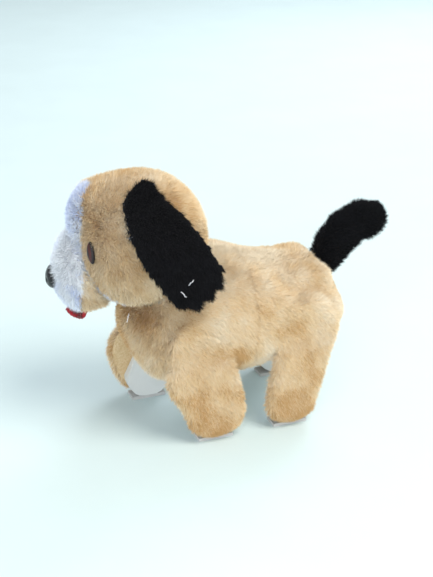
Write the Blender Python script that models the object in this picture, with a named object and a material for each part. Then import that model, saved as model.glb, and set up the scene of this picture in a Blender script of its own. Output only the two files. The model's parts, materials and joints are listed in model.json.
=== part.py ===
"""Battery walking plush puppy, modelled piece by piece as it is assembled.

The puppy stands on z = 0 and faces -Y, with its left side towards +X.
The legs rest in mid-stride and the head rests turned to the puppy's right.
"""

import math

import bmesh
import bpy
from mathutils import Matrix, Vector

MM = 0.001
GAP = 0.3 * MM
TAU = 2.0 * math.pi

# Driving dimensions
# The turned head and the tail reach unevenly, so the middle plane lies off the origin
SHIFT = Vector((-3.1, -6.7, 0)) * MM
PIVOT_Z = 60 * MM
FRONT_Y = -25.5 * MM
HIND_Y = 43.5 * MM
STRIDE = math.radians(9.5)
CASE_LOW = Vector((-22, -38, 42)) * MM
CASE_HIGH = Vector((22, 62, 90)) * MM
WALL = 1.8 * MM

# Legs, measured outwards from the middle plane
LEG_INNER = 27 * MM
LEG_PLATE = 30 * MM
LEG_OUTER = 35 * MM
COVER_INNER = 35.4 * MM
COVER_OUTER = 42 * MM
PAD_THICK = 2 * MM
HIP_RADIUS = 17 * MM
LINK_ARM = 8 * MM

# Gear train: each wheel of 32 teeth drives or follows a pinion of 8
MODULE = 0.625 * MM
WHEEL_TEETH = 32
PINION_TEETH = 8
CENTRES = MODULE * (WHEEL_TEETH + PINION_TEETH) / 2
CRANK_AXIS = Vector((FRONT_Y, 76 * MM))
MOTOR_AXIS = Vector((-22, 54)) * MM
CRANK_THROW = 3 * MM
STAGE_X = (8.5 * MM, 11.2 * MM, 13.9 * MM)
FACE_WIDTH = 2 * MM

# Neck: the head turns about an axis tipped forwards, square to the neck seam
NECK = Vector((0, -34, 93)) * MM
NECK_TILT = math.radians(16)
NECK_AXIS = Vector((0, -math.sin(NECK_TILT), math.cos(NECK_TILT)))
HEAD_TURN = math.radians(-16)
HEAD = Vector((0, -48, 120)) * MM
HEAD_RADII = Vector((40, 40, 41)) * MM
SHELL_RADII = Vector((32, 32, 33)) * MM
MUZZLE = Vector((0, -78, 102)) * MM
MUZZLE_RADII = Vector((24, 22, 28)) * MM

# Tail: the lever swings about an upright pin inside the casing's rear
TAIL_PIN_Y = 53 * MM
TAIL_Z = 77.5 * MM

LOOKS = {
    "white_plastic": ((0.86, 0.87, 0.9), 0.4, 0.0),
    "grey_plastic": ((0.32, 0.33, 0.35), 0.5, 0.0),
    "black_plastic": ((0.02, 0.02, 0.022), 0.25, 0.0),
    "gear_plastic": ((0.9, 0.86, 0.72), 0.45, 0.0),
    "steel": ((0.62, 0.63, 0.65), 0.3, 1.0),
    "cell_wrap": ((0.08, 0.22, 0.12), 0.4, 0.2),
    "tan_plush": ((0.72, 0.5, 0.24), 0.95, 0.0),
    "white_plush": ((0.85, 0.86, 0.95), 0.95, 0.0),
    "black_plush": ((0.012, 0.012, 0.016), 0.95, 0.0),
    "red_felt": ((0.55, 0.02, 0.03), 0.8, 0.0),
    "amber_eye": ((0.16, 0.04, 0.015), 0.1, 0.0),
    "rubber": ((0.12, 0.12, 0.12), 0.9, 0.0),
}


def look(name):
    """Make or fetch a Principled material."""
    made = bpy.data.materials.get(name)
    if made is None:
        colour, roughness, metallic = LOOKS[name]
        made = bpy.data.materials.new(name)
        made.use_nodes = True
        shader = made.node_tree.nodes["Principled BSDF"]
        shader.inputs["Base Color"].default_value = (*colour, 1.0)
        shader.inputs["Roughness"].default_value = roughness
        shader.inputs["Metallic"].default_value = metallic
    return made


def link(name, shape, origin):
    """Make an object from a shape given in world places, with its origin where asked."""
    origin = Vector(origin)
    bmesh.ops.recalc_face_normals(shape, faces=shape.faces)
    bmesh.ops.translate(shape, vec=-origin, verts=shape.verts)
    mesh = bpy.data.meshes.new(name)
    shape.to_mesh(mesh)
    shape.free()
    made = bpy.data.objects.new(name, mesh)
    made.location = origin + SHIFT
    bpy.context.scene.collection.objects.link(made)
    return made


def part(name, shape, finish, origin=(0, 0, 0)):
    """Make a named piece with its material, shaded smooth between its sharp edges."""
    made = link(name, shape, origin)
    made.data.materials.append(look(finish))
    made.data.shade_smooth()
    made.data.set_sharp_from_angle(angle=math.radians(35))
    return made


def tool(name, shape):
    """Make a cutter or a joining body, which isn't a piece of its own."""
    made = link("tool_" + name, shape, (0, 0, 0))
    made.hide_render = True
    made.display_type = "WIRE"
    return made


def combine(target, operation, *tools):
    """Apply each tool to the target, in order."""
    for one in tools:
        step = target.modifiers.new(one.name, "BOOLEAN")
        step.operation = operation
        step.object = one


def cut(target, *tools):
    combine(target, "DIFFERENCE", *tools)


def join(target, *tools):
    combine(target, "UNION", *tools)


def block(low, high, rounding=0.0):
    """A box between two corners, with its edges rounded if asked."""
    low, high = Vector(low), Vector(high)
    shape = bmesh.new()
    bmesh.ops.create_cube(shape, size=1.0)
    bmesh.ops.scale(shape, vec=high - low, verts=shape.verts)
    bmesh.ops.translate(shape, vec=(low + high) / 2, verts=shape.verts)
    if rounding:
        edges = shape.edges[:]
        bmesh.ops.bevel(shape, geom=edges, offset=rounding, segments=2, affect="EDGES", profile=0.5, material=-1)
    return shape


def rod(start, end, radius, sides=16, end_radius=None):
    """A round bar, or a cone if its end radius differs."""
    start, end = Vector(start), Vector(end)
    along = end - start
    shape = bmesh.new()
    far = radius if end_radius is None else end_radius
    bmesh.ops.create_cone(
        shape, cap_ends=True, segments=sides, radius1=radius, radius2=far, depth=along.length
    )
    turn = Vector((0, 0, 1)).rotation_difference(along).to_matrix().to_4x4()
    bmesh.ops.transform(shape, matrix=Matrix.Translation((start + end) / 2) @ turn, verts=shape.verts)
    return shape


def egg(centre, radii, grow=0.0, across=20, down=12):
    """An ellipsoid, grown evenly if asked."""
    shape = bmesh.new()
    bmesh.ops.create_uvsphere(shape, u_segments=across, v_segments=down, radius=1.0)
    bmesh.ops.scale(shape, vec=Vector(radii) + Vector((grow, grow, grow)), verts=shape.verts)
    bmesh.ops.translate(shape, vec=Vector(centre), verts=shape.verts)
    return shape


def slab(outline, low_x, high_x, rounding=0.0):
    """An outline of (y, z) points extruded along X, with its rims rounded if asked."""
    shape = bmesh.new()
    face = shape.faces.new([shape.verts.new((low_x, y, z)) for y, z in outline])
    grown = bmesh.ops.extrude_face_region(shape, geom=[face])
    moved = [item for item in grown["geom"] if isinstance(item, bmesh.types.BMVert)]
    bmesh.ops.translate(shape, vec=(high_x - low_x, 0, 0), verts=moved)
    if rounding:
        rims = [edge for edge in shape.edges if edge.verts[0].co.x == edge.verts[1].co.x]
        rims = [edge for edge in rims if abs(edge.verts[0].co.x) > abs(low_x + high_x) / 2]
        bmesh.ops.bevel(shape, geom=rims, offset=rounding, segments=2, affect="EDGES", profile=0.5, material=-1)
    return shape


def loft(rings):
    """A closed skin through rings of equal point counts."""
    shape = bmesh.new()
    loops = [[shape.verts.new(point) for point in ring] for ring in rings]
    for near, far in zip(loops, loops[1:]):
        for i in range(len(near)):
            j = (i + 1) % len(near)
            shape.faces.new((near[i], near[j], far[j], far[i]))
    shape.faces.new(loops[0])
    shape.faces.new(loops[-1])
    return shape


def arc(centre, radius, start, end, steps):
    """Points of (y, z) on an arc, its angles counted from +Y towards +Z."""
    angles = [start + (end - start) * i / steps for i in range(steps + 1)]
    return [(centre[0] + radius * math.cos(a), centre[1] + radius * math.sin(a)) for a in angles]


def capsule(high, high_radius, low, low_radius, steps=10):
    """The outline that wraps a circle above and a circle below."""
    down = Vector(low) - Vector(high)
    lean = math.asin((high_radius - low_radius) / down.length)
    across = math.atan2(down.y, down.x) + math.pi / 2
    over = arc(high, high_radius, across + lean, across + math.pi - lean, steps)
    under = arc(low, low_radius, across + math.pi - lean, across + TAU + lean, steps)
    return over + under


def about(centre, angle, point):
    """Turn a (y, z) point about a centre, from +Y towards +Z."""
    away = Vector(point) - Vector(centre)
    away.rotate(Matrix.Rotation(angle, 2))
    return Vector(centre) + away


def side_shape(shape, side):
    """Mirror a left-hand shape to the right where side is -1."""
    if side < 0:
        bmesh.ops.scale(shape, vec=(-1, 1, 1), verts=shape.verts)
    return shape


def turned(shape):
    """Carry a shape of the straight head round with the turned head."""
    spin = Matrix.Rotation(HEAD_TURN, 4, NECK_AXIS)
    bmesh.ops.transform(
        shape, matrix=Matrix.Translation(NECK) @ spin @ Matrix.Translation(-NECK), verts=shape.verts
    )
    return shape


def below_seam(offset):
    """A big block under the neck seam, its top this far along the neck's axis."""
    size = 200 * MM
    shape = block((-size, -size, -size), (size, size, 0))
    tilt = Matrix.Rotation(NECK_TILT, 4, "X")
    place = Matrix.Translation(NECK + NECK_AXIS * offset)
    bmesh.ops.transform(shape, matrix=place @ tilt, verts=shape.verts)
    return shape


def on_neck(distance):
    return NECK + NECK_AXIS * distance


# ---------------------------------------------------------------- casing

def casing():
    """Two hollow halves that meet on the middle plane."""
    inner_low = CASE_LOW + Vector((WALL, WALL, WALL))
    inner_high = CASE_HIGH - Vector((WALL, WALL, WALL))
    cavity = tool("casing_cavity", block(inner_low, inner_high))
    door = tool("door_opening", block(Vector((-15.8, 3.7, 38)) * MM, Vector((15.8, 56.3, 44.5)) * MM))
    slot = tool("switch_slot", block(Vector((-2.2, -8, 38)) * MM, Vector((2.2, -2, 44.5)) * MM))
    tail = tool("tail_slot", block(Vector((-9, 58, 73.5)) * MM, Vector((9, 64, 92)) * MM))
    reach = 30 * MM
    shaft = tool(
        "shaft_holes", rod((-reach, *CRANK_AXIS), (reach, *CRANK_AXIS), 2.2 * MM)
    )
    for side, name in ((1, "casing_left"), (-1, "casing_right")):
        half = part(name, block(CASE_LOW, CASE_HIGH, 4 * MM), "white_plastic")
        away = block((-reach, -1, -1), (GAP / 2, 1, 1))
        cut(half, tool("beyond_" + name, side_shape(away, side)), cavity, door, slot, tail, shaft)
    places = {"front": (-30, 45.9), "rear": (58.4, 46), "top": (20, 84)}
    for name, (y, z) in places.items():
        head = rod((22.3 * MM, y * MM, z * MM), (23.6 * MM, y * MM, z * MM), 2.2 * MM, 12)
        screw = part("casing_screw_" + name, head, "steel", (22.3 * MM, y * MM, z * MM))
        across = block((23.2 * MM, (y - 3) * MM, (z - 0.3) * MM), (24 * MM, (y + 3) * MM, (z + 0.3) * MM))
        cut(screw, tool("driver_" + name, across))


# ---------------------------------------------------------------- drive

def gear_outline(centre, teeth, phase):
    """The (y, z) outline of a spur gear with one tooth centred on the phase angle."""
    pitch = MODULE * teeth / 2
    tip = pitch + 0.35 * MM
    root = pitch - 0.55 * MM
    points = []
    for i in range(teeth):
        middle = phase + TAU * i / teeth
        for radius, half in ((root, -0.42 * MM), (tip, -0.2 * MM), (tip, 0.2 * MM), (root, 0.42 * MM)):
            angle = middle + half / radius
            points.append((centre[0] + radius * math.cos(angle), centre[1] + radius * math.sin(angle)))
    return points


def bearing(target, name, centre, radius):
    """Bore a target right through along X at a (y, z) centre."""
    cut(target, tool(name, rod((-25 * MM, *centre), (25 * MM, *centre), radius, 12)))


def gear_train():
    """Motor pinion, two stepped gears and the crank's gear, all in mesh."""
    low = Vector(MOTOR_AXIS)
    first = low + CENTRES * Vector((math.cos(math.radians(60)), math.sin(math.radians(60))))
    middle = (first + CRANK_AXIS) / 2
    span = CRANK_AXIS - first
    rise = math.sqrt(CENTRES ** 2 - (span.length / 2) ** 2)
    second = middle + rise * Vector((span.y, -span.x)).normalized()
    axes = (low, first, second, CRANK_AXIS)
    wheels = []
    pinions = []
    for driver, driven in zip(axes, axes[1:]):
        facing = math.atan2(driver.y - driven.y, driver.x - driven.x)
        wheels.append(gear_outline(driven, WHEEL_TEETH, facing))
        pinions.append(gear_outline(driver, PINION_TEETH, facing + math.pi + math.pi / PINION_TEETH))
    for i, name in enumerate(("first_gear", "second_gear")):
        gear = part(
            name, slab(wheels[i], STAGE_X[i], STAGE_X[i] + FACE_WIDTH), "gear_plastic", (0, *axes[i + 1])
        )
        step = slab(pinions[i + 1], STAGE_X[i] + FACE_WIDTH / 2, STAGE_X[i + 1] + FACE_WIDTH)
        join(gear, tool(name + "_pinion", step))
        bearing(gear, name + "_bore", axes[i + 1], 1.25 * MM)
    motor = part(
        "motor_pinion", slab(pinions[0], STAGE_X[0], STAGE_X[0] + FACE_WIDTH), "steel", (0, *low)
    )
    join(motor, tool("motor_shaft", rod((-8 * MM, *low), (12 * MM, *low), 1 * MM, 12)))
    crank = part(
        "crank_gear", slab(wheels[2], STAGE_X[2], STAGE_X[2] + FACE_WIDTH), "gear_plastic", (0, *CRANK_AXIS)
    )
    bearing(crank, "crank_bore", CRANK_AXIS, 1.9 * MM)
    for name, x in (("frame_plate_inner", 6.9 * MM), ("frame_plate_outer", 16.6 * MM)):
        plate = part(name, block((x, -35.9 * MM, 46 * MM), (x + 1.2 * MM, -1.5 * MM, 87.8 * MM)), "grey_plastic")
        for i, axis in enumerate(axes):
            bearing(plate, f"{name}_bore_{i}", axis, (1.5 if i < 3 else 1.9) * MM)
    for name, axis in (("axle_pin_low", first), ("axle_pin_high", second)):
        part(name, rod((6.6 * MM, *axis), (18.1 * MM, *axis), 1 * MM, 12), "steel", (0, *axis))
    can = part(
        "motor_can",
        block((-19 * MM, low.x - 10 * MM, low.y - 7.5 * MM), (6.6 * MM, low.x + 10 * MM, low.y + 7.5 * MM), 3 * MM),
        "steel",
    )
    cut(can, tool("can_bore", rod((-9 * MM, *low), (9 * MM, *low), 1.5 * MM, 12)))


def crank():
    """The shaft across the casing with a disc and pin at each end."""
    end = CASE_HIGH.x - GAP / 3
    part("crankshaft", rod((-end, *CRANK_AXIS), (end, *CRANK_AXIS), 1.5 * MM, 16), "steel", (0, *CRANK_AXIS))
    for side, name in ((1, "left"), (-1, "right")):
        disc = rod((22.4 * MM, *CRANK_AXIS), (24 * MM, *CRANK_AXIS), 6 * MM, 20)
        made = part("crank_disc_" + name, side_shape(disc, side), "gear_plastic", (0, *CRANK_AXIS))
        throw = CRANK_AXIS + Vector((CRANK_THROW * side, 0))
        pin = rod((23 * MM, *throw), (26.5 * MM, *throw), 1.2 * MM, 12)
        join(made, tool("crank_pin_" + name, side_shape(pin, side)))


def drive_links():
    """The bar on each side that swings the hind leg against the front leg."""
    for side, name in ((1, "left"), (-1, "right")):
        front = (FRONT_Y, PIVOT_Z)
        hind = (HIND_Y, PIVOT_Z)
        lean = STRIDE * side
        near = about(front, lean, (FRONT_Y, PIVOT_Z - LINK_ARM))
        far = about(hind, -lean, (HIND_Y, PIVOT_Z + LINK_ARM))
        bar = slab(capsule(near, 2.9 * MM, far, 4.4 * MM, 6), 24.4 * MM, 26 * MM)
        made = part("drive_link_" + name, side_shape(bar, side), "white_plastic", (0, *near))
        for which, centre, radius in (("near", near, 1.6 * MM), ("far", far, 2.9 * MM)):
            hole = rod((20 * MM, *centre), (30 * MM, *centre), radius, 14)
            cut(made, tool(f"link_{which}_{name}", side_shape(hole, side)))


# ---------------------------------------------------------------- power and sound

def power():
    """Two cells, their contacts, the door beneath them, and the switch."""
    radius = 7.1 * MM
    height = CASE_LOW.z + WALL + radius + GAP
    for side, name in ((1, "cell_left"), (-1, "cell_right")):
        x = side * 7.6 * MM
        body = rod((x, 4.8 * MM, height), (x, 53.6 * MM, height), radius, 20)
        cell = part(name, body, "cell_wrap", (x, 4.8 * MM, height))
        join(cell, tool(name + "_nub", rod((x, 53 * MM, height), (x, 54.8 * MM, height), 2.6 * MM, 12)))
    for name, y in (("contact_front", 3.7 * MM), ("contact_rear", 55.2 * MM)):
        part(name, block((-14 * MM, y, 46 * MM), (14 * MM, y + 0.6 * MM, 57 * MM)), "steel")
    door = part("battery_door", block(Vector((-15.5, 4, 42)) * MM, Vector((15.5, 56, 43.5)) * MM), "white_plastic")
    for i in range(4):
        y = (44 + 2.4 * i) * MM
        groove = block((-6 * MM, y, 41 * MM), (6 * MM, y + 1 * MM, 42.5 * MM))
        cut(door, tool(f"door_groove_{i}", groove))
    part("switch_body", block(Vector((-5, -11, 44.3)) * MM, Vector((5, -1, 47)) * MM), "black_plastic")
    knob = block(Vector((-1.7, -7.6, 40)) * MM, Vector((1.7, -4.4, 43.9)) * MM, 0.4 * MM)
    part("switch_knob", knob, "black_plastic", (0, -6 * MM, 42 * MM))


def bark_box():
    """A pleated drum that makes the bark, on the shelf above the cells."""
    profile = [(12.5 * MM, 61 * MM), (12.5 * MM, 63 * MM)]
    for i in range(4):
        profile.append((10.5 * MM, (64 + 2.6 * i) * MM))
        profile.append((12.5 * MM, (65.3 + 2.6 * i) * MM))
    centre_y = 24 * MM
    sides = 18
    rings = []
    for radius, z in profile:
        angles = [TAU * i / sides for i in range(sides)]
        rings.append([(radius * math.cos(a), centre_y + radius * math.sin(a), z) for a in angles])
    part("bark_box", loft(rings), "rubber", (0, centre_y, 61 * MM))


# ---------------------------------------------------------------- legs

def leg(name, side, pivot_y, lean):
    """One walking leg: white plastic leg, foot pad, plush cover and its pivot pin."""
    pivot = Vector((pivot_y, PIVOT_Z))
    front = pivot_y < 0
    foot = Vector((pivot_y + PIVOT_Z * math.sin(lean), 15 * MM))
    foot_radius = (14 if front else 12.5) * MM
    sole = PAD_THICK + GAP
    plate = capsule(pivot, 8 * MM, foot, foot_radius)
    plate = [(y, max(z, sole)) for y, z in plate]
    plate = [point for i, point in enumerate(plate) if point != plate[i - 1]]
    made = part("leg_" + name, side_shape(slab(plate, LEG_INNER, LEG_PLATE), side), "white_plastic", (0, *pivot))
    ankle = about(pivot, lean, (pivot_y, PIVOT_Z - 20 * MM))
    thick = [(y, max(z, sole)) for y, z in capsule(ankle, 8 * MM, foot, foot_radius)]
    thick = [point for i, point in enumerate(thick) if point != thick[i - 1]]
    join(made, tool("calf_" + name, side_shape(slab(thick, LEG_INNER + MM, LEG_OUTER), side)))
    stud_z = PIVOT_Z + (-LINK_ARM if front else LINK_ARM)
    stud = about(pivot, lean, (pivot_y, stud_z))
    join(made, tool("stud_" + name, side_shape(rod((24.4 * MM, *stud), (28 * MM, *stud), 1.2 * MM, 12), side)))
    if front:
        top = about(pivot, lean, (pivot_y, PIVOT_Z + 19 * MM))
        tab = capsule(top, 5 * MM, pivot, 6 * MM, 6)
        join(made, tool("tab_" + name, side_shape(slab(tab, LEG_INNER + 0.2 * MM, LEG_PLATE - 0.4 * MM), side)))
        slot_low = about(pivot, lean, (pivot_y, PIVOT_Z + 13 * MM))
        slot = capsule(top, 1.5 * MM, slot_low, 1.4 * MM, 5)
        cut(made, tool("slot_" + name, side_shape(slab(slot, 20 * MM, 40 * MM), side)))
    cut(made, tool("hub_" + name, side_shape(rod((20 * MM, *pivot), (40 * MM, *pivot), 2.9 * MM, 16), side)))
    pad_low = (LEG_INNER + 0.5 * MM, foot.x - 11 * MM, 0)
    pad_high = (LEG_OUTER + 3 * MM, foot.x + 11 * MM, PAD_THICK)
    part("foot_pad_" + name, side_shape(block(pad_low, pad_high), side), "rubber", (0, *pivot))
    paw = Vector((foot.x, PAD_THICK + GAP + (16.5 if front else 14.5) * MM))
    cover = capsule(pivot, HIP_RADIUS, paw, paw.y - PAD_THICK - GAP)
    plush = slab(cover, COVER_INNER, COVER_OUTER, 2.4 * MM)
    part("leg_cover_" + name, side_shape(plush, side), "tan_plush", (0, *pivot))
    pin = part(
        "leg_pin_" + name, side_shape(rod((22.3 * MM, *pivot), (32 * MM, *pivot), 2.5 * MM, 16), side), "steel", (0, *pivot)
    )
    join(pin, tool("pin_head_" + name, side_shape(rod((30.4 * MM, *pivot), (32 * MM, *pivot), 4.6 * MM, 16), side)))


# ---------------------------------------------------------------- head

def neck_and_head():
    """The bearing post, the hard head on it, and the plush and face parts over that."""
    post = part("neck_post", rod(on_neck(-0.8 * MM), on_neck(14 * MM), 5 * MM, 16), "grey_plastic", NECK)
    join(post, tool("neck_foot", block(Vector((-11, -34, 90.3)) * MM, Vector((11, -16, 92.2)) * MM)))
    part("neck_screw", rod(on_neck(14.3 * MM), on_neck(16.5 * MM), 6.5 * MM, 14), "steel", NECK)
    seam = 1 * MM
    floor = tool("head_floor", turned(below_seam(seam + 2.5 * MM)))
    hollow = tool("head_hollow", turned(egg(HEAD, SHELL_RADII, -2 * MM)))
    cut(hollow, floor)
    under = tool("under_head", below_seam(seam))
    shell = part("head_shell", turned(egg(HEAD, SHELL_RADII)), "white_plastic", NECK)
    cut(shell, under, hollow)
    join(shell, tool("neck_socket", rod(on_neck(seam + MM), on_neck(13.6 * MM), 8 * MM, 16)))
    cut(shell, tool("neck_bore", rod(on_neck(-5 * MM), on_neck(13.9 * MM), 5.4 * MM, 16)))
    cover = part("head_cover", turned(egg(HEAD, HEAD_RADII)), "tan_plush", NECK)
    cut(cover, tool("cover_hollow", turned(egg(HEAD, SHELL_RADII, 0.4 * MM))), under)
    cut(cover, tool("socket_room", rod(on_neck(-5 * MM), on_neck(15 * MM), 8.6 * MM, 16)))
    skull = tool("skull", turned(egg(HEAD, HEAD_RADII, 0.5 * MM)))
    muzzle = part("muzzle_cover", turned(egg(MUZZLE, MUZZLE_RADII)), "white_plush", NECK)
    cut(muzzle, skull, under)
    snout = tool("snout", turned(egg(MUZZLE, MUZZLE_RADII, 0.5 * MM)))
    nose = egg(Vector((0, -98.5, 97)) * MM, Vector((8.5, 5.5, 8)) * MM, across=16, down=10)
    cut(part("nose", turned(nose), "black_plastic", NECK), snout)
    tongue = block(Vector((-6.5, -95, 71)) * MM, Vector((6.5, -80, 82)) * MM, 2.5 * MM)
    cut(part("tongue", turned(tongue), "red_felt", NECK), snout, skull)
    for side, name in ((1, "left"), (-1, "right")):
        eye = egg(Vector((22 * side, -79, 125)) * MM, Vector((5.5, 4.5, 6.5)) * MM, across=14, down=8)
        cut(part("eye_" + name, turned(eye), "amber_eye", NECK), skull, snout)
        ear(name, side)


def ear_surface(z):
    """How far out the ear's inner face hangs at a height."""
    rise = min(max(z - HEAD.z, 0.0) / (HEAD_RADII.z + 1.2 * MM), 0.97)
    flare = 0.16 * max(HEAD.z - z, 0.0)
    return (HEAD_RADII.x + 1.4 * MM) * math.sqrt(1.0 - rise * rise) + flare


def ear(name, side):
    """A floppy ear that hangs from the top of the head, down and back."""
    top = Vector((-49, 152)) * MM
    tip = Vector((-18, 93)) * MM
    along = (tip - top).normalized()
    across = Vector((-along.y, along.x))
    thick = 4.4 * MM
    stations = 9
    rings = []
    for i in range(stations):
        t = i / (stations - 1)
        middle = top.lerp(tip, t)
        half = (7 + 11.5 * math.sin(math.pi * (0.08 + 0.72 * t))) * MM
        if i == stations - 1:
            half -= 5 * MM
        ring = []
        for k in range(10):
            angle = TAU * k / 10
            place = middle + across * half * math.cos(angle)
            out = ear_surface(place.y) + thick * (0.5 + 0.5 * math.sin(angle))
            ring.append((out * side, place.x, place.y))
        rings.append(ring)
    hinge = Vector((ear_surface(top.y) * side, top.x, top.y))
    place = Matrix.Translation(NECK) @ Matrix.Rotation(HEAD_TURN, 4, NECK_AXIS) @ Matrix.Translation(-NECK)
    part("ear_" + name, turned(loft(rings)), "black_plush", place @ hinge)


# ---------------------------------------------------------------- tail and coat

def tail():
    """The lever in the casing, its pin, and the plush tail round its upright end."""
    origin = (0, TAIL_PIN_Y, TAIL_Z)
    bar = block((-4 * MM, TAIL_PIN_Y - 6 * MM, 76 * MM), (4 * MM, 66 * MM, 79 * MM))
    lever = part("tail_lever", bar, "grey_plastic", origin)
    join(lever, tool("tail_core", rod(Vector((0, 64, 77)) * MM, Vector((0, 76, 99)) * MM, 2 * MM, 12)))
    cut(lever, tool("tail_bore", rod((0, TAIL_PIN_Y, 70 * MM), (0, TAIL_PIN_Y, 85 * MM), 2 * MM, 12)))
    part("tail_pin", rod((0, TAIL_PIN_Y, 70 * MM), (0, TAIL_PIN_Y, 86 * MM), 1.6 * MM, 12), "steel", origin)
    spine = (
        (69.5, 83, 6.5, 4.5), (72.5, 89, 10, 5.5), (77.5, 98, 12.5, 6),
        (86, 107, 13.5, 5.6), (96, 112, 13, 5), (107, 110.5, 11, 4), (113, 108, 6, 2),
    )
    rings = []
    for i, (y, z, half, thick) in enumerate(spine):
        before = Vector(spine[max(i - 1, 0)][:2])
        after = Vector(spine[min(i + 1, len(spine) - 1)][:2])
        along = (after - before).normalized()
        ring = []
        for k in range(14):
            angle = TAU * k / 14
            rise = half * math.cos(angle)
            ring.append(Vector((thick * math.sin(angle), y - along.y * rise, z + along.x * rise)) * MM)
        rings.append(ring)
    cover = part("tail_cover", loft(rings), "black_plush", origin)
    cut(cover, tool("tail_pocket", rod(Vector((0, 63, 75.17)) * MM, Vector((0, 76.4, 99.7)) * MM, 2.4 * MM, 12)))


def coat():
    """The stuffed body: a lofted trunk with room for the casing, legs, neck and tail."""
    trunk = (
        (-64, 77, 57, 16), (-59, 92, 47, 27), (-46, 104, 41, 36), (-25, 110, 38, 41), (0, 109, 37, 42),
        (25, 104, 37, 42), (45, 100, 37, 42), (62, 95, 38, 38), (72, 87, 42, 30), (78.5, 76, 52, 16),
    )
    sides = 28
    power_of = 2.0 / 2.6
    rings = []
    for y, top, bottom, half in trunk:
        ring = []
        for i in range(sides):
            angle = TAU * i / sides
            c, s = math.cos(angle), math.sin(angle)
            x = half * math.copysign(abs(c) ** power_of, c)
            z = (top + bottom) / 2 + (top - bottom) / 2 * math.copysign(abs(s) ** power_of, s)
            ring.append(Vector((x, y, z)) * MM)
        rings.append(ring)
    made = part("body_coat", loft(rings), "tan_plush")
    cut(made, tool("head_room", rod(on_neck(-0.6 * MM), on_neck(80 * MM), 44 * MM, 32)))
    cut(made, tool("leg_room", block(Vector((-36, -41, 40)) * MM, Vector((36, 64.5, 87)) * MM)))
    cut(made, tool("foot_room", block(Vector((-36, -55, -10)) * MM, Vector((36, 64.5, 49)) * MM)))
    cut(made, tool("casing_room", block(Vector((-23, -38.6, 60)) * MM, Vector((23, 63, 90.8)) * MM)))
    cut(made, tool("neck_foot_room", block(Vector((-12, -35, 80)) * MM, Vector((12, -15, 92.6)) * MM)))
    cut(made, tool("neck_room", rod(on_neck(-12 * MM), on_neck(12 * MM), 8.5 * MM, 16)))
    cut(made, tool("tail_room", block(Vector((-17, 60, 68)) * MM, Vector((17, 90, 120)) * MM)))
    for name, pivot_y in (("front", FRONT_Y), ("hind", HIND_Y)):
        arch = arc((pivot_y, PIVOT_Z), HIP_RADIUS + 1.2 * MM, 0, math.pi, 12)
        foot = 33 * MM
        outline = arch + [(pivot_y - foot, -5 * MM), (pivot_y + foot, -5 * MM)]
        for side in (1, -1):
            room = slab(outline, COVER_INNER - 1 * MM, 60 * MM)
            cut(made, tool(f"hip_{name}_{side}", side_shape(room, side)))


def main():
    for old in list(bpy.data.objects):
        bpy.data.objects.remove(old, do_unlink=True)
    casing()
    gear_train()
    crank()
    drive_links()
    power()
    bark_box()
    for side, side_name in ((1, "left"), (-1, "right")):
        leg("front_" + side_name, side, FRONT_Y, STRIDE * side)
        leg("hind_" + side_name, side, HIND_Y, -STRIDE * side)
    neck_and_head()
    tail()
    coat()


main()
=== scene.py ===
"""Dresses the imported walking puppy: pile fabric, face pieces, moulded finishes, studio and camera."""

import json
import math

import bmesh
import bpy
import numpy as np
from mathutils import Matrix, Vector, noise
from mathutils.bvhtree import BVHTree

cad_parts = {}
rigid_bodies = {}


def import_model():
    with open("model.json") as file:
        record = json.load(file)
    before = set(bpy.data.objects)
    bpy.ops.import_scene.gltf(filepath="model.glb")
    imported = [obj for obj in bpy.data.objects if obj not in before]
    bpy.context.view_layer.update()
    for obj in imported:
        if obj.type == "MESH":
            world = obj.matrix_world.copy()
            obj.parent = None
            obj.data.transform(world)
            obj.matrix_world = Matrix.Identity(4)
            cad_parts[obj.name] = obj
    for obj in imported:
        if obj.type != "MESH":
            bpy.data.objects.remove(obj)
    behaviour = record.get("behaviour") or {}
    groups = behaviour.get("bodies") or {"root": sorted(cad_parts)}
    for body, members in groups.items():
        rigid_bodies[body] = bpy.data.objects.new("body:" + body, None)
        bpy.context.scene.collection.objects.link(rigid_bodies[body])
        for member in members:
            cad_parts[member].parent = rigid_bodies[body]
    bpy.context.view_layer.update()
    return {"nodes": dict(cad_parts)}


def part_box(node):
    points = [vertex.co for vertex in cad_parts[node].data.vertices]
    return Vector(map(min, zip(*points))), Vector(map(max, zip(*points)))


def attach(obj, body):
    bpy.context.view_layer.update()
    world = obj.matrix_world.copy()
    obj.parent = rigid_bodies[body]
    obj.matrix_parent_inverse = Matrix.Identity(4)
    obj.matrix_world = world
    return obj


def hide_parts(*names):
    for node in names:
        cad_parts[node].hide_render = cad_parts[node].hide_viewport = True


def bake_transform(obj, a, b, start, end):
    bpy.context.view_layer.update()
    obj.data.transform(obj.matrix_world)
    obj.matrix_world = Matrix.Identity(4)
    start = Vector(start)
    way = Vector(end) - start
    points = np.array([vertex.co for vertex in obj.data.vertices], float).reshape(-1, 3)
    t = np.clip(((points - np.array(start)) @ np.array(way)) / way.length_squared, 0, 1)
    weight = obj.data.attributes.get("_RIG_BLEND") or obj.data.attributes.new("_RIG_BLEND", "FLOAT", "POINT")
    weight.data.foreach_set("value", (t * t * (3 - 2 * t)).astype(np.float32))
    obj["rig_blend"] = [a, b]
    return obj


bl_info = {
    "name": "Plush puppy finish",
    "version": (1, 0, 0),
    "blender": (4, 5, 0),
    "location": "3D View > Sidebar > Plush puppy",
    "description": "Dresses the packed walking puppy in pile fabric, face pieces and moulded finishes",
    "category": "Object",
}

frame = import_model()

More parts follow.
